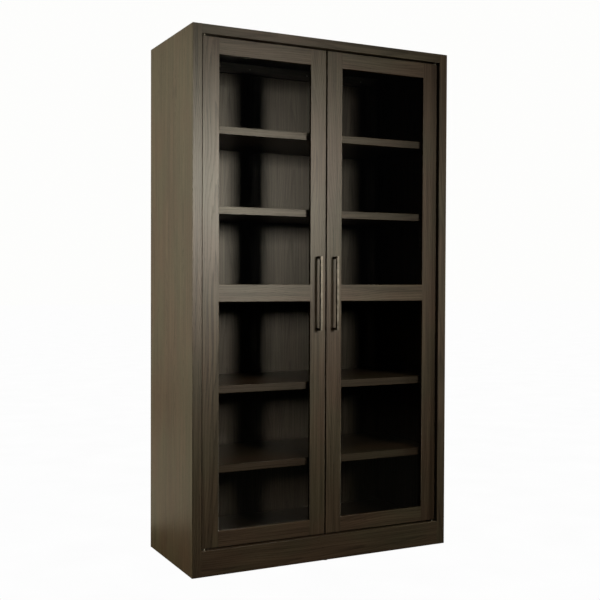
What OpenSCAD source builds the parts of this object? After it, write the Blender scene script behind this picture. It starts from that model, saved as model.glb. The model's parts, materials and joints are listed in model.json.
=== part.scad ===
// China cabinet with two inset glass doors, built as separate boards, panes and fittings.
// Millimetres. +Z is up, +Y points to the back, the doors face -Y.
// The origin is under the middle of the whole object, handles included, at floor level.

/* [Case] */
// Overall width of the case
case_w = 1155; // [900:5:1500]
// Overall depth of the case, without the handles
case_d = 500; // [380:5:650]
// Overall height, glides included
case_h = 2100; // [1700:5:2550]
// Thickness of each side panel
side_t = 38; // [28:1:50]
// Height of the head rail above the doors
head_rail_h = 36; // [30:1:60]
// Height of the base rail's top edge above the floor
base_h = 101; // [75:1:170]
// Front-to-back thickness of the head rail and the base rail
front_rail_t = 28; // [22:1:40]
// Thickness of the top panel and the bottom panel
panel_t = 25; // [18:1:32]
// Thickness of the back panel
back_t = 8; // [5:0.5:12]
// How far the back panel is let in from the rear edges
back_inset = 12; // [4:1:30]
// Width of the rebate that the back panel sits in
back_rebate = 12; // [8:1:16]
// Thickness of the rear rails and the base stretchers
rear_rail_t = 18; // [15:1:25]
// Height of the rear top rail below the top panel
rear_top_rail_h = 44; // [35:1:120]
// Number of cross stretchers in the base
stretchers = 2; // [1:1:3]

/* [Doors] */
// How far the door faces stand back from the case front
door_recess = 12; // [0:0.5:25]
// Gap between a door and the case, all round
door_gap = 6; // [3:0.5:8]
// Gap between the two doors
meet_gap = 6; // [3:0.5:8]
// Thickness of the door frames
door_t = 22; // [19:0.5:28]
// Width of the door stiles
stile_w = 68.5; // [55:0.5:100]
// Height of each door's top rail
door_top_h = 63.5; // [50:0.5:100]
// Height of each door's middle rail
door_mid_h = 67; // [50:1:100]
// Height of each door's bottom rail
door_bottom_h = 61.5; // [50:0.5:120]
// How far the middle rail's centre is above the middle of the door
mid_raise = 1.5; // [0:0.5:60]
// Thickness of the wooden lip in front of the glass
glass_lip = 10; // [7:0.5:12]
// Width of the rebate that holds the glass
glass_rebate = 9; // [7:0.5:11]
// Thickness of the glass
glass_t = 4; // [3:0.5:5]
// Length of the tenons on the door rails
tenon_l = 30; // [20:1:45]
// Thickness of the tenons on the door rails
tenon_t = 8; // [6:0.5:9]
// Shoulder above and below each tenon
tenon_shoulder = 12; // [11.5:0.5:16]

/* [Shelves] */
// Thickness of every shelf
shelf_t = 30; // [18:1:36]
// Clear space between the shelf fronts and the closed doors
shelf_clear = 4; // [2:0.5:60]
// Clear space at each end and behind an adjustable shelf
shelf_end_clear = 1.5; // [1.2:0.1:3]
// Height of the first lower shelf's top above the bottom panel
lower_first = 317; // [200:1:360]
// Height of the first upper shelf's top above the middle shelf
upper_first = 320; // [200:1:360]
// Height from each adjustable shelf to the next
shelf_pitch = 308; // [200:1:330]
// Distance between the shelf-pin holes above and below each shelf
pin_hole_pitch = 44; // [25:1:60]
// Distance of the pin holes from a shelf's front and rear edges
pin_inset = 55; // [35:1:90]

/* [Hardware] */
// Distance between the centres of a handle's two legs
handle_span = 288; // [128:1:320]
// Width and thickness of the square handle bar
handle_bar = 10; // [8:0.5:14]
// How far the handle stands out from the door face
handle_out = 34; // [28:1:45]
// Radius of a door pivot pin
pivot_r = 3; // [2.5:0.1:3.5]
// Distance of the pivot axis from the door's outer edge
pivot_side = 8; // [7.5:0.5:12]
// Distance of the pivot axis behind the door face
pivot_front = 6; // [5:0.5:7]
// Height of the glides under the case
glide_h = 2; // [1.5:0.5:6]
// Radius of the shelf pins
pin_r = 2.5; // [2.5:0.5:4]
// Radius of the dowels
dowel_r = 4; // [3:0.5:5]
// Distance between the two wall-fixing holes
wall_span = 560; // [300:10:700]

/* [Hidden] */
$fn = 32;

WOOD = "#4a4034";
EDGE = "#564b3e";
BRONZE = "#241f1b";
STEEL = "#9a9a98";

fit = 0.05;           // radial clearance of pins, dowels and screws in their holes
tight = 0.1;          // clearance of a tenon in its mortise, on each face
over = 1;             // how far a cutting solid runs past the surface it cuts
hole_end = 0.5;       // how much deeper a blind hole is than the pin in it

// ---- planes of the case
handle_proud = handle_out - door_recess;
front_y = -(case_d - handle_proud) / 2;
rear_y = front_y + case_d;
half_w = case_w / 2;
side_in = half_w - side_t;
back_y = rear_y - back_inset - back_t;
rail_back_y = front_y + front_rail_t;
top_under = case_h - panel_t;
head_under = case_h - head_rail_h;
bottom_under = base_h - panel_t;

// ---- planes of the doors
door_face = front_y + door_recess;
door_back = door_face + door_t;
door_w = (2 * side_in - 2 * door_gap - meet_gap) / 2;
door_z0 = base_h + door_gap;
door_z1 = head_under - door_gap;
door_out_x = -side_in + door_gap;
door_in_x = door_out_x + door_w;
mid_z = (door_z0 + door_z1) / 2 + mid_raise;
win_x0 = door_out_x + stile_w;
win_x1 = door_in_x - stile_w;
low_z0 = door_z0 + door_bottom_h;
low_z1 = mid_z - door_mid_h / 2;
up_z0 = mid_z + door_mid_h / 2;
up_z1 = door_z1 - door_top_h;
glass_y = door_face + glass_lip;
pane_clear = 1;       // space between the edge of the glass and the rebate
bead_w = 5;
bead_gap = 0.1;       // space between the glass and a bead, and between a bead and the rebate
bead_back = 1;        // how far the beads stay below the back of the door

// ---- shelves
shelf_y0 = door_back + shelf_clear;
mid_top = mid_z + shelf_t / 2;
lower_tops = [base_h + lower_first, base_h + lower_first + shelf_pitch];
upper_tops = [mid_top + upper_first, mid_top + upper_first + shelf_pitch];
shelf_tops = concat(lower_tops, upper_tops);
shelf_y1 = back_y - shelf_end_clear;
pin_ys = [shelf_y0 + pin_inset, shelf_y1 - pin_inset];
pin_depth = 12;
pin_reach = 9;        // how far a pin stands into the case
pin_collar_r = 4.5;
pin_collar_t = 1;

// ---- dowels: each row is [y, z]
dowel_side = 12;      // depth of a dowel in a side panel
dowel_board = 24;     // depth of a dowel in a board's end
dowel_inset = 45;
function spread(a, b, n) = [for (i = [0 : n - 1]) a + (b - a) * i / (n - 1)];
panel_dowel_ys = spread(rail_back_y + dowel_inset, back_y - dowel_inset, 3);
shelf_dowel_ys = spread(shelf_y0 + dowel_inset, back_y - dowel_inset, 3);
rail_y = front_y + front_rail_t / 2;
rear_rail_y = back_y - rear_rail_t / 2;
base_mid_z = (glide_h + base_h) / 2;
base_dowel_zs = [base_mid_z - base_h / 4, base_mid_z + base_h / 4];
rear_base_h = bottom_under - glide_h;
rear_base_dowel_zs = [glide_h + rear_base_h / 4, bottom_under - rear_base_h / 4];
top_dowels = [for (y = panel_dowel_ys) [y, case_h - panel_t / 2]];
bottom_dowels = [for (y = panel_dowel_ys) [y, base_h - panel_t / 2]];
shelf_dowels = [for (y = shelf_dowel_ys) [y, mid_z]];
head_dowels = [[rail_y, case_h - head_rail_h / 2]];
base_dowels = [for (z = base_dowel_zs) [rail_y, z]];
rear_top_dowels = [[rear_rail_y, top_under - rear_top_rail_h / 2]];
rear_base_dowels = [for (z = rear_base_dowel_zs) [rear_rail_y, z]];
all_dowels = concat(top_dowels, bottom_dowels, shelf_dowels, head_dowels, base_dowels,
    rear_top_dowels, rear_base_dowels);

// ---- back panel screws: [x, z]
screw_r = 1.75;
screw_l = 26;
screw_head_r = 4;
screw_head_h = 2.2;
screw_inset_z = 40;
screw_inset_x = 120;
back_edge_x = side_in + back_rebate / 2;
back_side_zs = spread(bottom_under + screw_inset_z, top_under - screw_inset_z, 6);
back_rail_xs = spread(-side_in + screw_inset_x, side_in - screw_inset_x, 4);
side_screws = [for (s = [-1, 1], z = back_side_zs) [s * back_edge_x, z]];
bottom_screws = [for (x = back_rail_xs) [x, base_h - panel_t / 2]];
shelf_screws = [for (x = back_rail_xs) [x, mid_z]];
top_screws = [for (x = back_rail_xs) [x, top_under - rear_top_rail_h / 2]];
all_screws = concat(side_screws, bottom_screws, shelf_screws, top_screws);

// ---- wall fixing holes through the rear top rail and the back panel
wall_hole_r = 3;
wall_hole_x = wall_span / 2;
wall_hole_z = top_under - rear_top_rail_h / 2;

// ---- back panel and base
back_clear = 0.5;     // space between the back panel's edge and its rebate
stretcher_lift = 20;  // space under the base stretchers, above the glides

// ---- pivots
pivot_x = door_out_x + pivot_side;
pivot_y = door_face + pivot_front;
pivot_l = 11;         // how far a pin stands into its bush, past the gap
plate_inset = 2;      // from the door's outer edge to the plate
plate_end = 10;       // from the plate to the stile's inner edge
plate_l = stile_w - plate_inset - plate_end;
plate_w = 9;
plate_t = 2.5;
bush_r = 4.5;
bush_l = 12;
bush_flange_r = 6;
bush_top_flange_t = 1;
bush_flange_t = door_gap - 0.5;   // the lower bush's flange all but fills the gap

// ---- handles
handle_x = -(meet_gap / 2 + stile_w / 2);
handle_zs = [mid_z - mid_raise - handle_span / 2, mid_z - mid_raise + handle_span / 2];
handle_screw_r = 2;
handle_screw_depth = 9;
handle_screw_slack = 0.3;         // radial clearance of a handle screw in the stile
handle_head_r = 4;
handle_head_h = 2.4;

// ---- catches
catch_w = 40;
catch_h = 13;
catch_d = 16;
strike_w = 24;
strike_h = 12;
strike_t = 1.6;
air = 0.4;            // clear space between a part of a door and a part of the case
bumper_r = 4;
bumper_side = 24;     // from the catch's middle to the bumper
bumper_x = handle_x + bumper_side;

// ---- glides: [x, y]
glide_r = 11;
glide_pin_r = 1.8;
glide_pin_l = 14;
glide_inset = 40;
glide_ys = [front_y + glide_inset, rear_y - glide_inset];
glides_at = concat([for (s = [-1, 1], y = glide_ys) [s * (half_w - side_t / 2), y]],
    [[0, rail_y], [0, rear_rail_y]]);

// ---------------------------------------------------------------- helpers

// A board from one corner to the opposite corner
module board(lo, hi) {
    translate(lo) cube(hi - lo);
}

// A round bar along +X, +Y or +Z from a point
module bar_x(at, r, l) {
    translate(at) rotate([0, 90, 0]) cylinder(r = r, h = l);
}

module bar_y(at, r, l) {
    translate(at) rotate([-90, 0, 0]) cylinder(r = r, h = l);
}

module bar_z(at, r, l) {
    translate(at) cylinder(r = r, h = l);
}

// Dowel holes in both ends of a board that spans the case
module end_holes(rows) {
    for (p = rows, s = [0, 1]) mirror([s, 0, 0])
        bar_x([-side_in - over, p[0], p[1]], dowel_r + fit, dowel_board + over + hole_end);
}

// Screw holes for the back panel
module back_holes(rows) {
    for (p = rows)
        bar_y([p[0], back_y + back_t - screw_l - hole_end, p[1]], screw_r + fit, screw_l + hole_end + over);
}

module glide_holes(rows) {
    for (p = rows)
        bar_z([p[0], p[1], glide_h - over], glide_pin_r + fit, glide_pin_l + over + hole_end);
}

// The holes that run through the rear top rail and the back panel
module wall_holes() {
    for (s = [-1, 1])
        bar_y([s * wall_hole_x, back_y - rear_rail_t - over, wall_hole_z],
            wall_hole_r, rear_rail_t + back_t + 2 * over);
}

module mirrored() {
    mirror([1, 0, 0]) children();
}

// ---------------------------------------------------------------- case

module side_panel() {
    color(WOOD) difference() {
        board([-half_w, front_y, glide_h], [-side_in, rear_y, case_h]);
        board([-side_in - back_rebate, back_y, bottom_under],
            [-side_in + over, rear_y + over, top_under]);
        for (p = all_dowels)
            bar_x([-side_in - dowel_side - hole_end, p[0], p[1]],
                dowel_r + fit, dowel_side + over + hole_end);
        for (z = shelf_tops, k = [-1, 0, 1], y = pin_ys)
            bar_x([-side_in - pin_depth - hole_end, y, z - shelf_t - pin_r + k * pin_hole_pitch],
                pin_r + fit, pin_depth + over + hole_end);
        back_holes([for (z = back_side_zs) [-back_edge_x, z]]);
        glide_holes([for (y = glide_ys) [-half_w + side_t / 2, y]]);
    }
}

module left_side() {
    side_panel();
}

module right_side() {
    mirrored() side_panel();
}

module top_panel() {
    color(WOOD) difference() {
        board([-side_in, rail_back_y, top_under], [side_in, rear_y, case_h]);
        end_holes(top_dowels);
    }
}

module head_rail() {
    color(EDGE) difference() {
        board([-side_in, front_y, head_under], [side_in, rail_back_y, case_h]);
        end_holes(head_dowels);
        for (s = [-1, 1])
            bar_z([s * pivot_x, pivot_y, head_under - over], bush_r + fit, bush_l + over + hole_end);
    }
}

module bottom_panel() {
    color(WOOD) difference() {
        board([-side_in, rail_back_y, bottom_under], [side_in, back_y, base_h]);
        end_holes(bottom_dowels);
        back_holes(bottom_screws);
    }
}

module base_rail() {
    color(EDGE) difference() {
        board([-side_in, front_y, glide_h], [side_in, rail_back_y, base_h]);
        end_holes(base_dowels);
        for (s = [-1, 1])
            bar_z([s * pivot_x, pivot_y, base_h - bush_l - hole_end],
                bush_r + fit, bush_l + over + hole_end);
        glide_holes([[0, rail_y]]);
    }
}

module middle_shelf() {
    color(WOOD) difference() {
        board([-side_in, shelf_y0, mid_z - shelf_t / 2], [side_in, back_y, mid_top]);
        end_holes(shelf_dowels);
        back_holes(shelf_screws);
    }
}

module back_panel() {
    edge = side_in + back_rebate - back_clear;
    color(WOOD) difference() {
        board([-edge, back_y, bottom_under + back_clear], [edge, back_y + back_t, top_under - back_clear]);
        back_holes(all_screws);
        wall_holes();
    }
}

module rear_top_rail() {
    color(WOOD) difference() {
        board([-side_in, back_y - rear_rail_t, top_under - rear_top_rail_h],
            [side_in, back_y, top_under]);
        end_holes(rear_top_dowels);
        back_holes(top_screws);
        wall_holes();
    }
}

module rear_base_rail() {
    color(WOOD) difference() {
        board([-side_in, back_y - rear_rail_t, glide_h], [side_in, back_y, bottom_under]);
        end_holes(rear_base_dowels);
        glide_holes([[0, rear_rail_y]]);
    }
}

module base_stretchers() {
    color(WOOD) for (i = [1 : stretchers]) {
        x = -side_in + 2 * side_in * i / (stretchers + 1);
        board([x - rear_rail_t / 2, rail_back_y, glide_h + stretcher_lift],
            [x + rear_rail_t / 2, back_y - rear_rail_t, bottom_under]);
    }
}

module adjustable_shelf(top) {
    end = side_in - shelf_end_clear;
    color(WOOD) board([-end, shelf_y0, top - shelf_t], [end, shelf_y1, top]);
}

module upper_shelf_high() {
    adjustable_shelf(upper_tops[1]);
}

module upper_shelf_low() {
    adjustable_shelf(upper_tops[0]);
}

module lower_shelf_high() {
    adjustable_shelf(lower_tops[1]);
}

module lower_shelf_low() {
    adjustable_shelf(lower_tops[0]);
}

module shelf_pins() {
    color(STEEL) for (z = shelf_tops, y = pin_ys, s = [0, 1]) mirror([s, 0, 0]) {
        bar_x([-side_in - pin_depth, y, z - shelf_t - pin_r], pin_r, pin_depth + pin_reach);
        bar_x([-side_in, y, z - shelf_t - pin_r], pin_collar_r, pin_collar_t);
    }
}

module case_dowels() {
    color("#c8a878") for (p = all_dowels, s = [0, 1]) mirror([s, 0, 0])
        bar_x([-side_in - dowel_side, p[0], p[1]], dowel_r, dowel_side + dowel_board);
}

module back_screws() {
    face = back_y + back_t;
    color(STEEL) for (p = all_screws) {
        bar_y([p[0], face - screw_l, p[1]], screw_r, screw_l + screw_head_h / 2);
        bar_y([p[0], face, p[1]], screw_head_r, screw_head_h);
    }
}

module glides() {
    color("#2b2b2b") for (p = glides_at) {
        bar_z([p[0], p[1], 0], glide_r, glide_h);
        bar_z([p[0], p[1], glide_h / 2], glide_pin_r, glide_h / 2 + glide_pin_l);
    }
}

// A bush with a flange; the flange of the lower one carries the door
module pivot_bush(flange) {
    color(STEEL) difference() {
        union() {
            cylinder(r = bush_r, h = bush_l);
            translate([0, 0, -flange]) cylinder(r = bush_flange_r, h = flange);
        }
        translate([0, 0, -flange - over]) cylinder(r = pivot_r + fit, h = bush_l + flange + 2 * over);
    }
}

module pivot_bushes() {
    for (s = [-1, 1]) {
        translate([s * pivot_x, pivot_y, head_under]) pivot_bush(bush_top_flange_t);
        translate([s * pivot_x, pivot_y, base_h]) rotate([180, 0, 0]) pivot_bush(bush_flange_t);
    }
}

module magnetic_catches() {
    y0 = door_back + strike_t + air;
    z1 = mid_z - shelf_t / 2;
    color("#d8d4c8") for (s = [-1, 1])
        board([s * handle_x - catch_w / 2, y0, z1 - catch_h],
            [s * handle_x + catch_w / 2, y0 + catch_d, z1]);
}

module bumpers() {
    color("#d9d9d9") for (s = [-1, 1])
        bar_y([s * bumper_x, door_back + air, mid_z], bumper_r, shelf_clear - air);
}

// ---------------------------------------------------------------- left door; the right one mirrors it

// The pockets that the panes and beads sit in
module pane_pockets() {
    for (z = [[low_z0, low_z1], [up_z0, up_z1]])
        board([win_x0 - glass_rebate, glass_y, z[0] - glass_rebate],
            [win_x1 + glass_rebate, door_back + over, z[1] + glass_rebate]);
}

// The tenons of a rail between heights z0 and z1; grow makes the mortises
module tenons(z0, z1, grow) {
    y0 = door_face + (door_t - tenon_t) / 2;
    for (x = [[win_x0 - tenon_l - grow, win_x0], [win_x1, win_x1 + tenon_l + grow]])
        board([x[0], y0 - grow, z0 + tenon_shoulder - grow],
            [x[1], y0 + tenon_t + grow, z1 - tenon_shoulder + grow]);
}

module mortises() {
    tenons(door_z0, low_z0, tight);
    tenons(low_z1, up_z0, tight);
    tenons(up_z1, door_z1, tight);
}

// The plates let into the ends of the hinge stile; grow cuts their seats
module pivot_plates(grow) {
    x0 = door_out_x + plate_inset - grow;
    x1 = door_out_x + plate_inset + plate_l + grow;
    y0 = pivot_y - plate_w / 2 - grow;
    y1 = pivot_y + plate_w / 2 + grow;
    past = grow > 0 ? over : 0;
    board([x0, y0, door_z0 - past], [x1, y1, door_z0 + plate_t + grow]);
    board([x0, y0, door_z1 - plate_t - grow], [x1, y1, door_z1 + past]);
}

module door_hinge_stile() {
    color(WOOD) difference() {
        board([door_out_x, door_face, door_z0], [win_x0, door_back, door_z1]);
        pane_pockets();
        mortises();
        pivot_plates(tight);
    }
}

module door_meeting_stile() {
    color(WOOD) difference() {
        board([win_x1, door_face, door_z0], [door_in_x, door_back, door_z1]);
        pane_pockets();
        mortises();
        for (z = handle_zs)
            bar_y([handle_x, door_face - over, z], handle_screw_r + handle_screw_slack, door_t + 2 * over);
    }
}

module door_rail(z0, z1) {
    color(EDGE) {
        difference() {
            board([win_x0, door_face, z0], [win_x1, door_back, z1]);
            pane_pockets();
        }
        tenons(z0, z1, 0);
    }
}

module pane(z0, z1) {
    e = glass_rebate - pane_clear;
    color([0.75, 0.85, 0.82, 0.25])
        board([win_x0 - e, glass_y, z0 - e], [win_x1 + e, glass_y + glass_t, z1 + e]);
}

// Four glazing beads behind a pane
module beads(z0, z1) {
    y0 = glass_y + glass_t + bead_gap;
    x0 = win_x0 - glass_rebate + bead_gap;
    x1 = win_x1 + glass_rebate - bead_gap;
    b0 = z0 - glass_rebate + bead_gap;
    b1 = z1 + glass_rebate - bead_gap;
    y1 = door_back - bead_back;
    side = bead_w + bead_gap;
    color(WOOD) {
        board([x0, y0, b0], [x0 + bead_w, y1, b1]);
        board([x1 - bead_w, y0, b0], [x1, y1, b1]);
        board([x0 + side, y0, b0], [x1 - side, y1, b0 + bead_w]);
        board([x0 + side, y0, b1 - bead_w], [x1 - side, y1, b1]);
    }
}

module door_pivots() {
    color(STEEL) {
        pivot_plates(0);
        bar_z([pivot_x, pivot_y, door_z1 - plate_t / 2], pivot_r, plate_t / 2 + door_gap + pivot_l);
        bar_z([pivot_x, pivot_y, door_z0 - door_gap - pivot_l], pivot_r, plate_t / 2 + door_gap + pivot_l);
    }
}

module handle() {
    b = handle_bar / 2;
    color(BRONZE) difference() {
        union() {
            board([handle_x - b, door_face - handle_out, handle_zs[0] - b],
                [handle_x + b, door_face - handle_out + handle_bar, handle_zs[1] + b]);
            for (z = handle_zs)
                board([handle_x - b, door_face - handle_out, z - b], [handle_x + b, door_face, z + b]);
        }
        for (z = handle_zs)
            bar_y([handle_x, door_face - handle_screw_depth - hole_end, z], handle_screw_r + fit,
                handle_screw_depth + over + hole_end);
    }
}

module handle_screws() {
    color(STEEL) for (z = handle_zs) {
        bar_y([handle_x, door_face - handle_screw_depth, z], handle_screw_r,
            handle_screw_depth + door_t + handle_head_h / 2);
        bar_y([handle_x, door_back, z], handle_head_r, handle_head_h);
    }
}

module strike() {
    z1 = mid_z - shelf_t / 2 - (catch_h - strike_h) / 2;
    color(STEEL)
        board([handle_x - strike_w / 2, door_back, z1 - strike_h],
            [handle_x + strike_w / 2, door_back + strike_t, z1]);
}

left_side();
right_side();
top_panel();
head_rail();
bottom_panel();
base_rail();
middle_shelf();
back_panel();
rear_top_rail();
rear_base_rail();
base_stretchers();
upper_shelf_high();
upper_shelf_low();
lower_shelf_high();
lower_shelf_low();
shelf_pins();
case_dowels();
back_screws();
glides();
pivot_bushes();
magnetic_catches();
bumpers();
door_hinge_stile();  // left_hinge_stile
door_meeting_stile();  // left_meeting_stile
door_rail(up_z1, door_z1);  // left_door_top_rail
door_rail(low_z1, up_z0);  // left_door_mid_rail
door_rail(door_z0, low_z0);  // left_door_bottom_rail
pane(up_z0, up_z1);  // left_upper_glass
pane(low_z0, low_z1);  // left_lower_glass
beads(up_z0, up_z1);  // left_upper_beads
beads(low_z0, low_z1);  // left_lower_beads
door_pivots();  // left_pivots
handle();  // left_handle
handle_screws();  // left_handle_screws
strike();  // left_strike
mirrored() door_hinge_stile();  // right_hinge_stile
mirrored() door_meeting_stile();  // right_meeting_stile
mirrored() door_rail(up_z1, door_z1);  // right_door_top_rail
mirrored() door_rail(low_z1, up_z0);  // right_door_mid_rail
mirrored() door_rail(door_z0, low_z0);  // right_door_bottom_rail
mirrored() pane(up_z0, up_z1);  // right_upper_glass
mirrored() pane(low_z0, low_z1);  // right_lower_glass
mirrored() beads(up_z0, up_z1);  // right_upper_beads
mirrored() beads(low_z0, low_z1);  // right_lower_beads
mirrored() door_pivots();  // right_pivots
mirrored() handle();  // right_handle
mirrored() handle_screws();  // right_handle_screws
mirrored() strike();  // right_strike
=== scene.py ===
"""A china cabinet with two glazed doors: the boards, panes and fittings as the eye sees them.

Everything is in metres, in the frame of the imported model: +Z up, +Y towards the back, the doors face -Y.
"""

import json
import math

import bpy
import numpy as np
from bpy.props import FloatProperty, FloatVectorProperty, PointerProperty
from mathutils import Matrix, Vector


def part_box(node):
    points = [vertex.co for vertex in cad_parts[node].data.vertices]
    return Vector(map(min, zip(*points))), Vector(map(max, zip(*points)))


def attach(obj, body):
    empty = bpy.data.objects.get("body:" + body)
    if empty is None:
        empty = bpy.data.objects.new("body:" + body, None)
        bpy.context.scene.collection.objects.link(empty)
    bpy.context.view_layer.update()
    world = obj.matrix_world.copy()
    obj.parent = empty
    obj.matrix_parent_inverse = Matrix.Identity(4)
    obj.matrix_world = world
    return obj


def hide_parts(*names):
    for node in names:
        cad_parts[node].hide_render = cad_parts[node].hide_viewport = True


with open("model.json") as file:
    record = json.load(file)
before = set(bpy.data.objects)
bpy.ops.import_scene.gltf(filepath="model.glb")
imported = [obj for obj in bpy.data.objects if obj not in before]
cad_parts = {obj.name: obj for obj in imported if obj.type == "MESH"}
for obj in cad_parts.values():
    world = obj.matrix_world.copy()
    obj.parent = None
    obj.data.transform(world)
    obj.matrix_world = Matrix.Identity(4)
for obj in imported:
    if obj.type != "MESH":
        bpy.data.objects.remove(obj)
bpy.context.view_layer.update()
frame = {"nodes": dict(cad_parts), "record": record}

bl_info = {
    "name": "China Cabinet",
    "version": (1, 0, 0),
    "blender": (4, 5, 0),
    "location": "View3D > Sidebar > Cabinet",
    "description": "Builds the boards, panes, fittings and stage of a glazed cabinet around its frame",
    "category": "Object",
}

MM = 0.001


def linear(code):
    """The linear colour of an sRGB hex value such as #3c3428."""
    share = np.array([int(code[i : i + 2], 16) for i in (1, 3, 5)]) / 255
    return tuple(np.where(share <= 0.04045, share / 12.92, ((share + 0.055) / 1.055) ** 2.4))


# ---------------------------------------------------------------- sizes and colours


def length(name, description, default):
    return FloatProperty(
        name=name, description=description, default=default, min=0, unit="LENGTH", precision=5
    )


def colour(name, description, code):
    return FloatVectorProperty(
        name=name, description=description, default=linear(code), subtype="COLOR", size=3, min=0, max=1
    )


def strength(name, description, default):
    return FloatProperty(name=name, description=description, default=default, min=0)


def angle(name, description, degrees):
    return FloatProperty(
        name=name, description=description, default=math.radians(degrees), subtype="ANGLE"
    )


class CabinetSizes(bpy.types.PropertyGroup):
    """Sizes of the details that the frame leaves to the looks."""

    board_edge: length("Board edge", "Radius of the sanded edges of the case and shelves", 1.2 * MM)
    frame_edge: length("Frame edge", "Radius of the sanded edges round a pane", 1.3 * MM)
    joint_edge: length("Joint edge", "Radius where two boards meet flush", 0.25 * MM)
    handle_edge: length("Handle edge", "Radius of a handle bar's long edges", 0.9 * MM)
    mitre_edge: length("Mitre edge", "Width of the eased edge at a handle's corners", 0.4 * MM)
    glass_rebate: length("Glass rebate", "Width of the rebate behind a pane's lip", 9 * MM)
    glass_lip: length("Glass lip", "Thickness of the wood in front of a pane", 10 * MM)
    pin_hole_radius: length("Pin hole radius", "Radius of the shelf-pin holes", 2.55 * MM)
    pin_hole_depth: length("Pin hole depth", "Depth of the shelf-pin holes", 12.5 * MM)
    pin_hole_pitch: length("Pin hole pitch", "Height between neighbouring pin holes", 44 * MM)
    pin_collar: length("Pin collar", "Radius of a shelf pin's collar", 4.5 * MM)
    pin_radius: length("Pin radius", "Radius of a shelf pin", 2.5 * MM)


class CabinetFinish(bpy.types.PropertyGroup):
    """Colours of the stain and of the fittings."""

    stain: colour("Stain", "Middle tone of the stained wood", "#332a1f")
    stain_warm: colour("Warm stain", "Where the stain turns reddish", "#39291d")
    stain_olive: colour("Olive stain", "Where the stain turns greenish", "#312d1e")
    pore: colour("Pores", "Stain that has gathered in the open pores", "#19140e")
    bronze: colour("Handle bronze", "Satin bronze of the handles", "#625e58")
    nickel: colour("Nickel", "Plated pins, screws and plates", "#b9b6ad")
    beech: colour("Beech", "Dowels", "#c9a77c")
    glass: colour("Glass", "Float glass", "#faf9f7")
    streak: length("Streak width", "Width of the streaks across the grain", 9 * MM)
    ring: length("Ring width", "Width of one growth ring", 6.5 * MM)
    leaf: length("Veneer leaf", "Width of one book-matched leaf on the wide panels", 150 * MM)


class CabinetStage(bpy.types.PropertyGroup):
    """Camera and lights."""

    lens: FloatProperty(name="Lens", description="Focal length in millimetres", default=58.25, min=10)
    place: FloatVectorProperty(
        name="Camera place",
        description="Where the camera stands",
        default=(-1.8625, -3.683, 1.1342),
        unit="LENGTH",
    )
    yaw: angle("Yaw", "Turn to the right of straight ahead", 26.79)
    pitch: angle("Pitch", "Tilt upwards", -1.157)
    roll: angle("Roll", "Turn about the view", 0.21)
    key_power: strength("Key light", "Power of the soft box at the front", 8.0)
    key_spread: angle("Key spread", "Angle of the honeycomb on the soft box", 54)
    key_width: length("Key width", "Width of the soft box", 0.55)
    key_height: length("Key height", "Height of the soft box", 0.75)
    key_tint: colour("Key tint", "Colour of the soft box at the front", "#fff7e5")
    side_power: strength("Side light", "Power of the soft box at the left", 135)
    side_tint: colour("Side tint", "Colour of the soft box at the left", "#fff6dc")
    fill_power: strength("Right light", "Power of the soft box at the right", 135)
    top_power: strength("Top light", "Power of the soft box overhead", 4.6)
    rear_power: strength("Rear light", "Power of the soft box behind", 110)
    floor_power: strength("Floor card", "Power of the card on the floor", 7.5)
    card_power: strength("Card", "Power of the pale card at the rear left", 17)
    card_tint: colour("Card tint", "Colour of the pale card at the rear left", "#fff6d8")
    fill: strength("Fill", "Brightness of the room", 0.006)


# ---------------------------------------------------------------- surfaces

CORNERS = np.array([[-1, -1], [1, -1], [1, 1], [-1, 1]], float)
ARC = 4                    # faces round an eased corner
END_RINGS = 3              # rings of faces round an eased end
END_START = 12             # degrees; the end's quarter circle starts past its flat part
LEAST_RADIUS = 0.02 * MM   # so that an eased corner never shrinks to a point
STEP = 0.3 * MM            # length over which a section changes into the next
AXES = {"x": (1, 2, 0), "y": (2, 0, 1), "z": (0, 1, 2)}  # the section's two axes, and the length


def section_rings(half, inset, radius, notch):
    """The outline of a board's section at each ring, as an array of ring, corner, point and (a, b).

    An eased corner is the quarter circle centre + (radius - inset) (cos t, sin t), with its centre
    radius in from both sides. A notched corner is the L that a rebate of notch = (across, deep) leaves:
    out along one wall to the inner corner, and back along the other.
    """
    t = np.linspace(0, 1, ARC + 1)
    start = np.radians([180, 270, 0, 90])
    turn = start[:, None] + t * math.pi / 2
    around = np.stack([np.cos(turn), np.sin(turn)], -1)
    centre = CORNERS * (half - radius[..., None])
    left = np.maximum(radius - inset[:, None], LEAST_RADIUS)
    eased = centre[:, :, None] + left[..., None, None] * around
    out, back = np.clip(2 * t, 0, 1), 1 - np.clip(2 * t - 1, 0, 1)
    even = np.array([True, False, True, False])[:, None, None]
    share = np.where(even, np.stack([out, back], -1), np.stack([back, out], -1))
    cut = half - inset[:, None, None, None] - notch[:, :, None] * share
    notched = CORNERS[:, None] * cut
    return np.where((notch.max(-1) > 0)[..., None, None], notched, eased)


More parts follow.
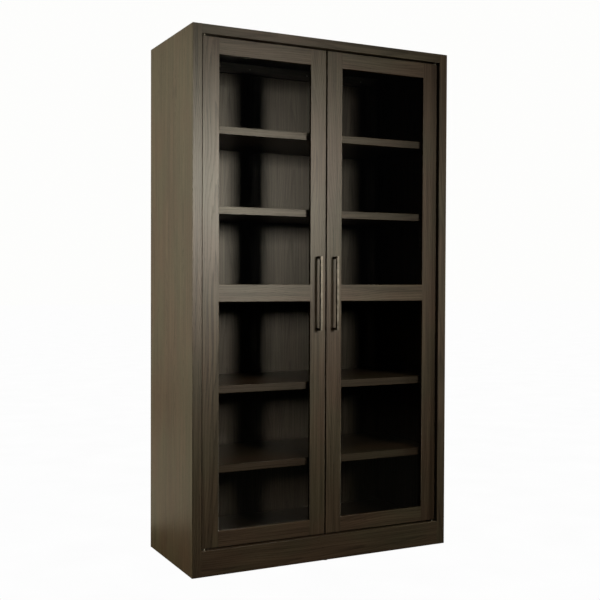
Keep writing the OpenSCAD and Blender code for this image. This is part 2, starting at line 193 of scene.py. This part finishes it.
def board(low, high, along, edges, ends=(0, 0), spans=()):
    """A board whose section is carried along its length, eased at its long edges and at both ends.

    edges has one entry for each corner of the section: a radius, or (across, deep) for a rebate. A span
    is (from, to, edges) in absolute places along the board, where other edges take over. At an end of
    radius e the rings follow a quarter circle: e (cos p0 - cos p) along the board and e (1 - sin p) in
    from the sides. Returns points, faces and which faces are curved.
    """
    a, b, w = AXES[along]
    low, high = np.array(low, float), np.array(high, float)
    half = (high - low)[[a, b]] / 2
    middle = (high + low)[[a, b]] / 2
    p = np.radians(np.linspace(END_START, 90, END_RINGS + 1))
    rise, draw = math.cos(p[0]) - np.cos(p), 1 - np.sin(p)
    first, last = low[w] + ends[0] * rise, high[w] - ends[1] * rise[::-1]
    turns = np.array([place for s in spans for place in (s[0] - STEP, s[0], s[1], s[1] + STEP)])
    turns = np.unique(np.round(turns[(turns > first[-1]) & (turns < last[0])], 7))
    places = np.concatenate([first, turns, last])
    inset = np.concatenate([ends[0] * draw, 0 * turns, ends[1] * draw[::-1]])
    radius = np.zeros((len(places), 4))
    notch = np.zeros((len(places), 4, 2))
    for start, stop, spec in [(-np.inf, np.inf, edges), *spans]:
        here = (places >= start - 1e-6) & (places <= stop + 1e-6)
        for k, edge in enumerate(spec):
            wide = isinstance(edge, tuple)
            radius[here, k] = 0 if wide else edge
            notch[here, k] = edge if wide else 0
    rings = section_rings(half, inset, radius, notch)
    count = 4 * (ARC + 1)
    points = np.zeros((len(places), count, 3))
    points[..., a] = rings[..., 0].reshape(-1, count) + middle[0]
    points[..., b] = rings[..., 1].reshape(-1, count) + middle[1]
    points[..., w] = places[:, None]
    ring, k = np.meshgrid(np.arange(len(places) - 1), np.arange(count), indexing="ij")
    here, beside = ring * count + k, ring * count + (k + 1) % count
    quads = np.stack([here, beside, beside + count, here + count], -1).reshape(-1, 4)
    plain = notch.max(-1) == 0
    corner = k // (ARC + 1)
    in_arc = (k % (ARC + 1) < ARC) & plain[ring, corner] & plain[ring + 1, corner]
    in_end = (ring < END_RINGS) | (ring >= len(places) - 1 - END_RINGS)
    whole = (len(places) - 1) * count + np.arange(count)
    faces = [*quads.tolist(), np.arange(count)[::-1].tolist(), whole.tolist()]
    curved = np.append((in_arc | in_end).ravel(), [False, False])
    return points.reshape(-1, 3), faces, curved


def square_bar(path, side, half, edge):
    """A square bar with rounded long edges, carried along straight runs and mitred where they meet.

    side is the direction square to the path's plane. At a corner the section lies in the plane that
    halves the turn, so its in-plane half width grows by 1 / cos(half the turn).
    """
    path, side = np.array(path, float), np.array(side, float)
    run = np.diff(path, axis=0)
    run /= np.linalg.norm(run, axis=1)[:, None]
    before, after = np.vstack([run[:1], run]), np.vstack([run, run[-1:]])
    mean = before + after
    mean /= np.linalg.norm(mean, axis=1)[:, None]
    grow = 1 / np.einsum("ij,ij->i", mean, after)
    across = np.cross(mean, side) * grow[:, None]
    radius = np.full((1, 4), edge)
    rings = section_rings(np.array([half, half]), np.zeros(1), radius, np.zeros((1, 4, 2)))
    outline = rings[0].reshape(-1, 2)
    count = len(outline)
    points = path[:, None] + outline[:, :1] * side + outline[:, 1:] * across[:, None]
    ring, k = np.meshgrid(np.arange(len(path) - 1), np.arange(count), indexing="ij")
    here, beside = ring * count + k, ring * count + (k + 1) % count
    quads = np.stack([here, here + count, beside + count, beside], -1).reshape(-1, 4)
    last = (len(path) - 1) * count + np.arange(count)
    faces = [*quads.tolist(), np.arange(count).tolist(), last[::-1].tolist()]
    curved = np.append((k % (ARC + 1) < ARC).ravel(), [False, False])
    return points.reshape(-1, 3), faces, curved


def rods(centres, axis, radius, depth, sides=16):
    """Closed round rods: a circle of radius at each centre, and another at depth along the axis."""
    turn = np.linspace(0, 2 * math.pi, sides, endpoint=False)
    a, b, w = AXES[axis]
    one = np.zeros((2, sides, 3))
    one[..., a], one[..., b] = radius * np.cos(turn), radius * np.sin(turn)
    one[1, :, w] = depth
    points = (np.array(centres)[:, None, None] + one).reshape(-1, 3)
    k = np.arange(sides)
    wall = np.stack([k, (k + 1) % sides, (k + 1) % sides + sides, k + sides], -1)
    if depth < 0:
        wall = wall[:, ::-1]
    caps = [k[::-1], k + sides] if depth > 0 else [k, k[::-1] + sides]
    faces = [(f + 2 * sides * i).tolist() for i in range(len(centres)) for f in [*wall, *caps]]
    return points, faces, np.zeros(len(faces), bool)


# ---------------------------------------------------------------- pieces


def mesh_of(name, shape):
    """A mesh from points, faces and which faces are curved."""
    points, faces, curved = shape
    mesh = bpy.data.meshes.new(name)
    mesh.from_pydata(points.tolist(), [], faces)
    mesh.polygons.foreach_set("use_smooth", curved)
    mesh.update()
    return mesh


SHADED_SHELF_TONE, FRONT_TONE = 0.3, 0.75   # how light each board is drawn: painted shade keeps the shelves, and the back at 0, darker than the fronts
TONE_SPREAD = 0.06
LOG_REACH = 3.0                      # metres of log that a board may come from, either way


def set_board(mesh, name):
    """Writes the board's place in the log, and its tone with the painted shade of the shelves, to every
    point.
    """
    seed = sum((i + 1) * ord(c) for i, c in enumerate(name))
    chance = np.random.default_rng(seed)
    count = len(mesh.vertices)
    shift = mesh.attributes.new("board_shift", "FLOAT_VECTOR", "POINT")
    place = chance.uniform(-LOG_REACH, LOG_REACH, 3)
    shift.data.foreach_set("vector", np.tile(place, count).astype(np.float32))
    # Painted shade: the shelves are drawn darker than the fronts; the small random spread is the boards'
    # own tone.
    shade_tone = SHADED_SHELF_TONE if "shelf" in name else FRONT_TONE
    tone = mesh.attributes.new("board_tone", "FLOAT", "POINT")
    shade_tone += chance.uniform(-TONE_SPREAD, TONE_SPREAD)
    tone.data.foreach_set("value", np.full(count, shade_tone, np.float32))


def put(name, shape, body, slot, stands_for=()):
    """Adds a finished piece to the scene, on its body, in its material, in place of CAD nodes."""
    mesh = mesh_of(name, shape)
    set_board(mesh, name)
    piece = bpy.data.objects.new(name, mesh)
    bpy.context.scene.collection.objects.link(piece)
    mesh.materials.append(material(slot))
    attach(piece, body)
    if stands_for:
        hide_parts(*stands_for)
    return piece


def bore(piece, cutters):
    """Bores round holes into a piece, and leaves the result as its plain mesh."""
    tool = bpy.data.objects.new("bores", mesh_of("bores", cutters))
    bpy.context.scene.collection.objects.link(tool)
    cut = piece.modifiers.new("bores", "BOOLEAN")
    cut.object, cut.operation, cut.solver = tool, "DIFFERENCE", "EXACT"
    bpy.context.view_layer.update()
    graph = bpy.context.evaluated_depsgraph_get()
    made = bpy.data.meshes.new_from_object(piece.evaluated_get(graph))
    piece.modifiers.clear()
    old, piece.data = piece.data, made
    bpy.data.meshes.remove(old)
    bpy.data.objects.remove(tool)
    made.name = piece.name
    for key in ("board_shift", "board_tone"):
        if key in made.attributes:
            made.attributes.remove(made.attributes[key])
    set_board(made, piece.name)


# ---------------------------------------------------------------- materials


def add(tree, kind, settings=None, **inputs):
    """Adds a node. settings are its own values; an input is a value, or a socket to link it to."""
    made = tree.nodes.new(kind)
    for key, value in (settings or {}).items():
        setattr(made, key, value)
    for key, value in inputs.items():
        socket = made.inputs[int(key[1:])] if key[0] == "_" else made.inputs[key.replace("_", " ")]
        if isinstance(value, bpy.types.NodeSocket):
            tree.links.new(value, socket)
        else:
            socket.default_value = value
    return made


def maths(tree, operation, *values):
    """The result of a Math node."""
    inputs = {f"_{i}": v for i, v in enumerate(values)}
    return add(tree, "ShaderNodeMath", {"operation": operation}, **inputs).outputs[0]


def blend(tree, share, low, high):
    """The colour that a Mix node gives between low and high."""
    made = add(tree, "ShaderNodeMix", {"data_type": "RGBA"}, _0=share, _6=low, _7=high)
    return made.outputs[2]


def ramped(tree, value, low, high, out_low=0.0, out_high=1.0):
    """value from low..high, eased to out_low..out_high."""
    made = add(
        tree, "ShaderNodeMapRange", {"interpolation_type": "SMOOTHSTEP"},
        Value=value, From_Min=low, From_Max=high, To_Min=out_low, To_Max=out_high,
    )
    return made.outputs[0]


def new_material(name):
    made = bpy.data.materials.new(name)
    made.use_nodes = True
    made.node_tree.nodes.clear()
    return made, made.node_tree


def shown(tree, shader):
    add(tree, "ShaderNodeOutputMaterial", None, Surface=shader)


def rgba(value):
    return (*value[:3], 1.0)


def object_place(tree):
    """A point's place in its own object."""
    return add(tree, "ShaderNodeTexCoord").outputs["Object"]


def noise(tree, place, scale, detail, **inputs):
    """The value of a Noise Texture node."""
    settled = {"Vector": place, "Scale": scale, "Detail": detail, **inputs}
    return add(tree, "ShaderNodeTexNoise", None, **settled).outputs[0]


def drawn_out(tree, p, q, along, share):
    """Coordinates that draw a pattern out along the grain, to 1 / share of its length."""
    slow = maths(tree, "MULTIPLY", along, share)
    return add(tree, "ShaderNodeCombineXYZ", None, X=p, Y=q, Z=slow).outputs[0]


def scaled(tree, tint, factor):
    """A colour times a factor."""
    made = add(tree, "ShaderNodeVectorMath", {"operation": "SCALE"}, _0=tint, Scale=factor)
    return made.outputs[0]


def bumped(tree, strength, depth, height):
    """The normal that a Bump node gives, for a relief of depth metres."""
    made = add(tree, "ShaderNodeBump", None, Strength=strength, Distance=depth, Height=height)
    return made.outputs[0]


def surface(tree, **inputs):
    """Makes a Principled surface the one that shows."""
    shown(tree, add(tree, "ShaderNodeBsdfPrincipled", None, **inputs).outputs[0])


def stained_ash(name, grain):
    """Ash, planed and sanded, stained dark brown-grey and finished with a matt lacquer.

    The eye gets soft streaks along the grain, faint growth rings that close into arches on flat-sawn
    faces, stain gathered in the pores, a tone that drifts between reddish and olive, and a broad soft
    sheen.
    """
    finish = bpy.context.scene.cabinet_finish
    made, tree = new_material(name)
    shift = add(tree, "ShaderNodeAttribute", {"attribute_name": "board_shift"}).outputs["Vector"]
    shifted = {"_0": object_place(tree), "_1": shift}
    log = add(tree, "ShaderNodeVectorMath", {"operation": "ADD"}, **shifted).outputs[0]
    part = add(tree, "ShaderNodeSeparateXYZ", None, Vector=log)
    p, q, along = (part.outputs[axis] for axis in {"z": "XYZ", "x": "ZYX"}[grain])

    slow = drawn_out(tree, p, q, along, 0.4)
    drift = noise(tree, slow, 4.0, 1.0)
    hue = noise(tree, slow, 7.0, 2.0)

    # Knots are rare: the cells are long, and only a face that passes close to a cell's point shows one.
    cell = drawn_out(tree, p, q, along, 0.5)
    knot = add(tree, "ShaderNodeTexVoronoi", None, Vector=cell, Scale=3.2).outputs["Distance"]
    near = ramped(tree, knot, 0.16, 0.0)
    eye = ramped(tree, knot, 0.055, 0.02)

    # Growth rings: distance from the heart of the log, which wanders 55 mm and leans along the board.
    leaf = maths(tree, "PINGPONG", p, finish.leaf)
    wander = maths(tree, "MULTIPLY_ADD", drift, 0.11, -0.055)
    across = maths(tree, "ADD", maths(tree, "SUBTRACT", leaf, finish.leaf * 0.45), wander)
    deep = maths(tree, "ADD", maths(tree, "PINGPONG", q, 0.05), 0.012)
    squares = maths(tree, "ADD", maths(tree, "POWER", across, 2.0), maths(tree, "POWER", deep, 2.0))
    heart = maths(tree, "SQRT", squares)
    leaning = maths(tree, "MULTIPLY_ADD", along, 0.022, heart)
    bent = maths(tree, "MULTIPLY_ADD", near, 0.014, leaning)
    fine = drawn_out(tree, p, q, along, 0.05)
    edge = maths(tree, "MULTIPLY_ADD", noise(tree, fine, 160.0, 2.0), 0.0035, bent)
    year = maths(tree, "FRACT", maths(tree, "DIVIDE", edge, finish.ring))
    ring = maths(tree, "MULTIPLY", ramped(tree, year, 0.45, 0.92), ramped(tree, year, 1.0, 0.94))

    # Streaks: noise drawn out fifty times along the grain.
    streaks = drawn_out(tree, p, q, along, 0.02)
    streak = noise(tree, streaks, 1 / finish.streak, 4.0, Roughness=0.62)

    # Pores are 0.2 mm wide on real ash. They are drawn 1 mm wide and 20 mm long, to show in a close view.
    pores = ramped(tree, noise(tree, fine, 1000.0, 1.0), 0.6, 0.72)
    pore = maths(tree, "MULTIPLY", pores, maths(tree, "MULTIPLY_ADD", ring, 0.6, 0.4))

    olive, warm = rgba(finish.stain_olive), rgba(finish.stain_warm)
    base = blend(tree, ramped(tree, hue, 0.32, 0.68), olive, warm)
    base = blend(tree, 0.45, base, rgba(finish.stain))
    light = ramped(tree, streak, 0.25, 0.75, 0.66, 1.36)
    light = maths(tree, "MULTIPLY", light, maths(tree, "MULTIPLY_ADD", ring, -0.34, 1.1))
    # Painted shade: the board's tone darkens the shelves, and the back most, below the fronts; only its
    # small random spread is real tone.
    tone = add(tree, "ShaderNodeAttribute", {"attribute_name": "board_tone"}).outputs["Fac"]
    light = maths(tree, "MULTIPLY", light, maths(tree, "ADD", tone, 0.6))
    shade = scaled(tree, base, light)
    shade = blend(tree, maths(tree, "MULTIPLY", pore, 0.55), shade, rgba(finish.pore))
    shade = blend(tree, maths(tree, "MULTIPLY", eye, 0.75), shade, rgba(finish.pore))

    rough = ramped(tree, streak, 0.2, 0.8, 0.37, 0.41)
    rough = maths(tree, "MULTIPLY_ADD", pore, 0.1, rough)
    height = maths(tree, "MULTIPLY_ADD", streak, 0.4, maths(tree, "MULTIPLY", pore, -1.0))
    height = maths(tree, "MULTIPLY_ADD", ring, -0.35, height)
    # Lacquer sinks into the pores and the soft wood, so less of it is left on top to shine.
    sheen = maths(tree, "MULTIPLY_ADD", ring, -0.07, ramped(tree, streak, 0.25, 0.75, 0.43, 0.57))
    sheen = maths(tree, "MULTIPLY_ADD", pore, -0.2, sheen)
    surface(
        tree, Base_Color=shade, Roughness=rough, IOR=1.5, Specular_IOR_Level=sheen,
        Normal=bumped(tree, 0.35, 0.14 * MM, height),
    )
    return made


def float_glass(name):
    """Clear float glass, 4 mm, polished: mirror-like, faintly green. Lamplight passes straight on."""
    finish = bpy.context.scene.cabinet_finish
    made, tree = new_material(name)
    # Float glass is flat to a few thousandths of a millimetre, with a slow roll of about 80 mm.
    roll = noise(tree, object_place(tree), 12.0, 0.0)
    pane = add(
        tree, "ShaderNodeBsdfPrincipled", None,
        Base_Color=rgba(finish.glass), Roughness=0.0, IOR=1.5, Transmission_Weight=1.0,
        Normal=bumped(tree, 0.05, 0.1 * MM, roll),
    )
    clear = add(tree, "ShaderNodeBsdfTransparent", None, Color=rgba(finish.glass))
    lamp = add(tree, "ShaderNodeLightPath").outputs["Is Shadow Ray"]
    both = add(tree, "ShaderNodeMixShader", None, _0=lamp, _1=pane.outputs[0], _2=clear.outputs[0])
    shown(tree, both.outputs[0])
    return made


def satin_bronze(name):
    """Oil-rubbed bronze on zinc, brushed lengthways and lacquered satin: dark, grey-sheened on edges."""
    finish = bpy.context.scene.cabinet_finish
    made, tree = new_material(name)
    place = object_place(tree)
    # Brush lines are 0.1 mm apart. They are drawn 0.8 mm apart, so that a close view shows them.
    drawn = add(tree, "ShaderNodeMapping", None, Vector=place, Scale=(1.0, 1.0, 0.02)).outputs[0]
    brush = noise(tree, drawn, 1250.0, 2.0)
    worn = ramped(tree, noise(tree, place, 45.0, 3.0), 0.3, 0.7, 0.75, 1.3)
    surface(
        tree, Base_Color=scaled(tree, finish.bronze[:3], worn), Metallic=1.0,
        Roughness=ramped(tree, brush, 0.25, 0.75, 0.3, 0.42),
        Normal=bumped(tree, 0.15, 0.05 * MM, brush),
    )
    return made


def satin_nickel(name):
    """Steel with satin nickel plate: pale warm grey, softly mottled by the plating bath."""
    finish = bpy.context.scene.cabinet_finish
    made, tree = new_material(name)
    mottle = noise(tree, object_place(tree), 400.0, 3.0)
    pale = ramped(tree, mottle, 0.3, 0.7, 0.85, 1.1)
    surface(
        tree, Base_Color=scaled(tree, finish.nickel[:3], pale), Metallic=1.0,
        Roughness=ramped(tree, mottle, 0.3, 0.7, 0.26, 0.38),
    )
    return made


def raw_beech(name):
    """Beech dowels, turned and left raw: pale pink-brown, dry, with short dark flecks on the grain."""
    finish = bpy.context.scene.cabinet_finish
    made, tree = new_material(name)
    along = {"Vector": object_place(tree), "Scale": (0.15, 1.0, 1.0)}
    drawn = add(tree, "ShaderNodeMapping", None, **along).outputs[0]
    dark = ramped(tree, noise(tree, drawn, 900.0, 2.0), 0.35, 0.7, 1.05, 0.65)
    surface(tree, Base_Color=scaled(tree, finish.beech[:3], dark), Roughness=0.75)
    return made


def moulded(name, code, rough, grain_mm):
    """A moulded plastic or rubber: one colour through its body, with the grain of its mould."""
    made, tree = new_material(name)
    grain = noise(tree, object_place(tree), 1 / (grain_mm * MM), 2.0)
    surface(
        tree, Base_Color=scaled(tree, linear(code), ramped(tree, grain, 0.3, 0.7, 0.9, 1.1)),
        Roughness=ramped(tree, grain, 0.3, 0.7, rough, rough + 0.1),
        Normal=bumped(tree, 0.3, 0.05 * MM, grain),
    )
    return made


MAKERS = {
    "stained_ash_upright": lambda: stained_ash("stained_ash_upright", "z"),
    "stained_ash_level": lambda: stained_ash("stained_ash_level", "x"),
    "clear_glass": lambda: float_glass("float_glass"),
    "dark_bronze": lambda: satin_bronze("oil_rubbed_bronze"),
    "nickel_fittings": lambda: satin_nickel("satin_nickel"),
    "beech_dowel": lambda: raw_beech("raw_beech"),
    "black_nylon": lambda: moulded("moulded_nylon", "#1c1c1c", 0.5, 0.8),
    "brown_plastic": lambda: moulded("moulded_abs", "#3a2f26", 0.4, 0.6),
    "clear_rubber": lambda: moulded("polyurethane_rubber", "#c8c6bd", 0.45, 1.2),
}
MADE = {}


def material(slot):
    """The material of a slot of the record, made once."""
    if slot not in MADE:
        MADE[slot] = MAKERS[slot]()
    return MADE[slot]


# ---------------------------------------------------------------- operators


class CabinetStep(bpy.types.Operator):
    """One step of the build."""

    bl_options = {"REGISTER", "UNDO"}

    def execute(self, context):
        self.build(context.scene.cabinet_sizes)
        return {"FINISHED"}


class CABINET_OT_sides(CabinetStep):
    """Side panels: full height, eased outside, rebated for the back and bored for shelf pins"""

    bl_idname = "cabinet.sides"
    bl_label = "Side Panels"

    def build(self, size):
        edge, joint = size.board_edge, size.joint_edge
        back_low, back_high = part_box("back_panel")
        pins_low, pins_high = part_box("shelf_pins")
        rows = [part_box(n)[0].z - size.pin_radius for n in SHELVES]
        heights = [z + k * size.pin_hole_pitch for z in rows for k in (-1, 0, 1)]
        depths = [pins_low.y + size.pin_collar, pins_high.y - size.pin_collar]
        for node, facing in (("left_side", -1), ("right_side", 1)):
            low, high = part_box(node)
            inner = high.x if facing < 0 else low.x
            deep = abs(inner - (back_low.x if facing < 0 else back_high.x)) + REBATE_CLEAR
            notch = (deep, high.y - back_low.y)
            plain = [edge, joint, joint, edge] if facing < 0 else [joint, edge, edge, joint]
            cut = [edge, joint, notch, edge] if facing < 0 else [joint, edge, edge, notch]
            span = (back_low.z - REBATE_CLEAR, back_high.z + REBATE_CLEAR, cut)
            panel = board(low, high, "z", plain, (edge, edge), [span])
            piece = put(node + "_panel", panel, "carcass", "stained_ash_upright", [node])
            starts = [(inner - facing * MM, y, z) for y in depths for z in heights]
            bore(piece, rods(starts, "x", size.pin_hole_radius, facing * (size.pin_hole_depth + MM)))


class CABINET_OT_case_boards(CabinetStep):
    """Top panel, head rail, base rail and middle shelf, eased where they show"""

    bl_idname = "cabinet.case_boards"
    bl_label = "Case Boards"

    def build(self, size):
        edge, joint = size.board_edge, size.joint_edge
        # Along x the section's corners are (front, low), (rear, low), (rear, high), (front, high).
        boards = {
            "top_panel": [joint, edge, edge, joint],
            "head_rail": [edge, joint, joint, edge],
            "base_rail": [edge, joint, joint, edge],
            "middle_shelf": [edge, joint, joint, edge],
        }
        for node, edges in boards.items():
            low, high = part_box(node)
            shape = board(low, high, "x", edges, (joint, joint))
            put(node + "_board", shape, "carcass", "stained_ash_level", [node])


class CABINET_OT_shelves(CabinetStep):
    """Adjustable shelves, eased all round"""

    bl_idname = "cabinet.shelves"
    bl_label = "Adjustable Shelves"

    def build(self, size):
        for node in SHELVES:
            low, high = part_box(node)
            shape = board(low, high, "x", [size.board_edge] * 4, (size.board_edge, size.board_edge))
            put(node + "_board", shape, "carcass", "stained_ash_level", [node])


class CABINET_OT_door_frames(CabinetStep):
    """Stiles and rails of both doors, rebated for the glass and eased round each pane"""

    bl_idname = "cabinet.door_frames"
    bl_label = "Door Frames"

    def build(self, size):
        edge, joint = size.frame_edge, size.joint_edge
        for door in ("left", "right"):
            body = door + "_door"
            panes = [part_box(f"{door}_{level}_glass") for level in ("lower", "upper")]
            # The rails' shoulders, not their tenons, stand where the stiles end.
            outer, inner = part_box(door + "_hinge_stile"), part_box(door + "_meeting_stile")
            x0, x1 = (outer[1].x, inner[0].x) if door == "left" else (inner[1].x, outer[0].x)
            levels = ("bottom", "mid", "top")
            rails = {level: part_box(f"{door}_door_{level}_rail") for level in levels}
            openings = [(rails[a][1].z, rails[b][0].z) for a, b in zip(levels, levels[1:])]
            notch_wide, notch_deep = size.glass_rebate, outer[1].y - outer[0].y - size.glass_lip
            for part, box in (("hinge_stile", outer), ("meeting_stile", inner)):
                # Along z the corners are (left, front), (right, front), (right, rear), (left, rear).
                pane_right = (part == "hinge_stile") == (door == "left")
                notch = (notch_wide, notch_deep)
                if pane_right:
                    plain, cut = [edge, joint, joint, edge], [edge, edge, joint, edge]
                    held = [edge, edge, notch, edge]
                else:
                    plain, cut = [joint, edge, edge, joint], [edge, edge, edge, joint]
                    held = [edge, edge, edge, notch]
                spans = []
                for z0, z1 in openings:
                    spans += [(z0 - notch_wide, z1 + notch_wide, plain[:2] + held[2:]), (z0, z1, held)]
                low, high = box
                low = (low.x, low.y, low.z + END_CLEAR)
                high = (high.x, high.y, high.z - END_CLEAR)
                shape = board(low, high, "z", plain, (edge, edge), spans)
                put(f"{door}_{part}_board", shape, body, "stained_ash_upright", [f"{door}_{part}"])
            for level, (low, high) in rails.items():
                notch = (notch_deep, notch_wide)
                above, below = level != "top", level != "bottom"
                edges = [edge, notch if below else edge, notch if above else edge, edge]
                shape = board((x0, low.y, low.z), (x1, high.y, high.z), "x", edges, (joint, joint))
                node = f"{door}_door_{level}_rail"
                put(node + "_board", shape, body, "stained_ash_level", [node])


class CABINET_OT_handles(CabinetStep):
    """Square bar handles, mitred at both corners"""

    bl_idname = "cabinet.handles"
    bl_label = "Handles"

    def build(self, size):
        for door in ("left", "right"):
            low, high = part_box(door + "_handle")
            half = (high.x - low.x) / 2
            x, bar = (low.x + high.x) / 2, low.y + half
            foot, head = low.z + half, high.z - half
            path = [(x, high.y, foot), (x, bar, foot), (x, bar, head), (x, high.y, head)]
            piece = put(
                door + "_bar_handle", square_bar(path, (1, 0, 0), half, size.handle_edge),
                door + "_door", "dark_bronze", [door + "_handle"],
            )
            eased = piece.modifiers.new("mitres", "BEVEL")
            eased.width, eased.segments = size.mitre_edge, 2
            eased.limit_method, eased.angle_limit = "ANGLE", math.radians(40)


class CABINET_OT_finishes(CabinetStep):
    """Gives every part that the frame still shows its own finish"""

    bl_idname = "cabinet.finishes"
    bl_label = "Finishes"

    def build(self, size):
        slots = {s["node"]: s["material_slot"] for s in frame["record"]["subparts"]}
        for node, part in frame["nodes"].items():
            part.data.materials.clear()
            part.data.materials.append(material(slots[node]))


class CABINET_OT_stage(bpy.types.Operator):
    """Camera, soft boxes and a plain pale floor"""

    bl_idname = "cabinet.stage"
    bl_label = "Stage"
    bl_options = {"REGISTER", "UNDO"}

    def execute(self, context):
        stage = context.scene.cabinet_stage
        self.camera(context, stage)
        # Each soft box: its place, what it aims at, its width and height, its power and its tint.
        plans = {
            "key": (
                (0.97, -3.72, 1.84), (-0.42, -0.24, 1.2), (stage.key_width, stage.key_height),
                stage.key_power, stage.key_tint,
            ),
            "side": (
                (-3.6, 0.75, 1.5), (-0.58, 0, 1.2), (1.8, 1.8), stage.side_power, stage.side_tint
            ),
            "right": (
                (4.2, -0.95, 1.0), (0.5, -0.2, 1.0), (1.8, 1.8), stage.fill_power, stage.side_tint
            ),
            "top": (
                (0.1, -2.2, 3.9), (0.1, -0.24, 0.2), (2.4, 1.2), stage.top_power, stage.key_tint
            ),
            "rear": (
                (1.2, 4.5, 1.9), (0, 0.26, 1.05), (1.8, 1.8), stage.rear_power, stage.key_tint
            ),
            "floor_card": (
                (-1.3, 2.1, 0.02), (-1.3, 2.1, 1.0), (1.6, 3.4), stage.floor_power, stage.card_tint
            ),
            "card": (
                (-2.7, 3.3, 1.75), (-0.58, 0, 1.3), (2.0, 3.0), stage.card_power, stage.card_tint
            ),
        }
        lamps = {name: self.soft_box(context, name, *plan) for name, plan in plans.items()}
        lamps["key"].data.spread = lamps["top"].data.spread = stage.key_spread
        # Its light reaches the back through the panes; sampled from the lamp alone, it's counted once.
        lamps["key"].data.cycles.use_multiple_importance_sampling = False
        lamps["floor_card"].rotation_euler = (math.pi, 0, math.radians(19))
        self.spare_glass([lamps["key"], lamps["right"], lamps["top"]])
        self.floor(context)
        self.room(context, stage.fill)
        context.scene.view_settings.view_transform = "Standard"
        return {"FINISHED"}

    def camera(self, context, stage):
        """Looks along yaw and pitch from straight ahead, then rolls about the view."""
        yaw, pitch, roll = stage.yaw, stage.pitch, stage.roll
        level, rise = math.cos(pitch), math.sin(pitch)
        ahead = Vector((math.sin(yaw) * level, math.cos(yaw) * level, rise))
        right = Vector((math.cos(yaw), -math.sin(yaw), 0))
        up = right.cross(ahead)
        rolled_right = right * math.cos(roll) + up * math.sin(roll)
        rolled_up = up * math.cos(roll) - right * math.sin(roll)
        made = bpy.data.objects.new("camera", bpy.data.cameras.new("camera"))
        made.data.lens, made.data.sensor_width = stage.lens, 36
        turned = Matrix((rolled_right, rolled_up, -ahead)).transposed().to_4x4()
        made.matrix_world = Matrix.Translation(stage.place) @ turned
        context.scene.collection.objects.link(made)
        context.scene.camera = made

    def soft_box(self, context, name, place, aim, size, power, tint):
        """An area light that the camera doesn't see."""
        made = bpy.data.objects.new(name, bpy.data.lights.new(name, "AREA"))
        made.data.shape, made.data.size, made.data.size_y = "RECTANGLE", *size
        made.data.energy, made.data.color = power, tint
        made.location = place
        made.rotation_euler = (Vector(aim) - Vector(place)).to_track_quat("-Z", "Y").to_euler()
        made.visible_camera = False
        context.scene.collection.objects.link(made)
        return made

    def spare_glass(self, lamps):
        """Keeps the soft boxes' own mirror images off the panes, as a flag does in a studio."""
        panes = bpy.data.collections.new("panes")
        for node, part in frame["nodes"].items():
            if node.endswith("_glass"):
                panes.objects.link(part)
        for lamp in lamps:
            lamp.light_linking.receiver_collection = panes
        for entry in panes.collection_objects:
            entry.light_linking.link_state = "EXCLUDE"

    def floor(self, context):
        """White paper to the camera, and nearly black to the case and panes, which it mustn't light."""
        reach = 40.0
        mesh = bpy.data.meshes.new("floor")
        corners = [(-reach, -reach, 0), (reach, -reach, 0), (reach, reach, 0), (-reach, reach, 0)]
        mesh.from_pydata(corners, [], [(0, 1, 2, 3)])
        made = bpy.data.objects.new("floor", mesh)
        context.scene.collection.objects.link(made)
        paper, tree = new_material("seamless_paper")
        fibre = noise(tree, object_place(tree), 3.0, 2.0)
        tint = ramped(tree, fibre, 0.2, 0.8, 0.975, 0.99)
        lit = add(tree, "ShaderNodeEmission", None, Color=tint)
        dull = add(tree, "ShaderNodeBsdfDiffuse", None, Color=(0.03, 0.03, 0.028, 1))
        seen = add(tree, "ShaderNodeLightPath").outputs["Is Camera Ray"]
        mixed = add(tree, "ShaderNodeMixShader", None, _0=seen, _1=dull.outputs[0], _2=lit.outputs[0])
        shown(tree, mixed.outputs[0])
        mesh.materials.append(paper)

    def room(self, context, fill):
        """White behind the object, and dim all round it, as in a studio with black drapes."""
        world = bpy.data.worlds.new("room")
        context.scene.world = world
        world.use_nodes = True
        tree = world.node_tree
        tree.nodes.clear()
        white = add(tree, "ShaderNodeBackground", None, Color=(0.985, 0.985, 0.975, 1), Strength=1.0)
        dim = add(tree, "ShaderNodeBackground", None, Color=(0.9, 0.95, 1, 1), Strength=fill)
        seen = add(tree, "ShaderNodeLightPath").outputs["Is Camera Ray"]
        both = add(tree, "ShaderNodeMixShader", None, _0=seen, _1=dim.outputs[0], _2=white.outputs[0])
        add(tree, "ShaderNodeOutputWorld", None, Surface=both.outputs[0])


class CABINET_PT_panel(bpy.types.Panel):
    """Lists the steps of the build and what a user may change"""

    bl_idname = "CABINET_PT_panel"
    bl_label = "China Cabinet"
    bl_space_type = "VIEW_3D"
    bl_region_type = "UI"
    bl_category = "Cabinet"

    def draw(self, context):
        for step in STEPS:
            self.layout.operator(step.bl_idname)
        for name in GROUPS:
            group = getattr(context.scene, name)
            box = self.layout.box()
            for key in group.__annotations__:
                box.prop(group, key)


SHELVES = ["lower_shelf_low", "lower_shelf_high", "upper_shelf_low", "upper_shelf_high"]
REBATE_CLEAR = 0.5 * MM      # between the back panel's edge and its rebate
END_CLEAR = 0.15 * MM        # so that the pivot plates stand just proud of the stiles' ends
GROUPS = {
    "cabinet_sizes": CabinetSizes,
    "cabinet_finish": CabinetFinish,
    "cabinet_stage": CabinetStage,
}
STEPS = [
    CABINET_OT_finishes,
    CABINET_OT_sides,
    CABINET_OT_case_boards,
    CABINET_OT_shelves,
    CABINET_OT_door_frames,
    CABINET_OT_handles,
    CABINET_OT_stage,
]


def register():
    for made in (*GROUPS.values(), *STEPS, CABINET_PT_panel):
        bpy.utils.register_class(made)
    for name, group in GROUPS.items():
        setattr(bpy.types.Scene, name, PointerProperty(type=group))


def unregister():
    for name in GROUPS:
        delattr(bpy.types.Scene, name)
    for made in reversed((*GROUPS.values(), *STEPS, CABINET_PT_panel)):
        bpy.utils.unregister_class(made)


def main():
    register()
    for step in STEPS:
        group, name = step.bl_idname.split(".")
        getattr(getattr(bpy.ops, group), name)()


if __name__ == "__main__":
    main()
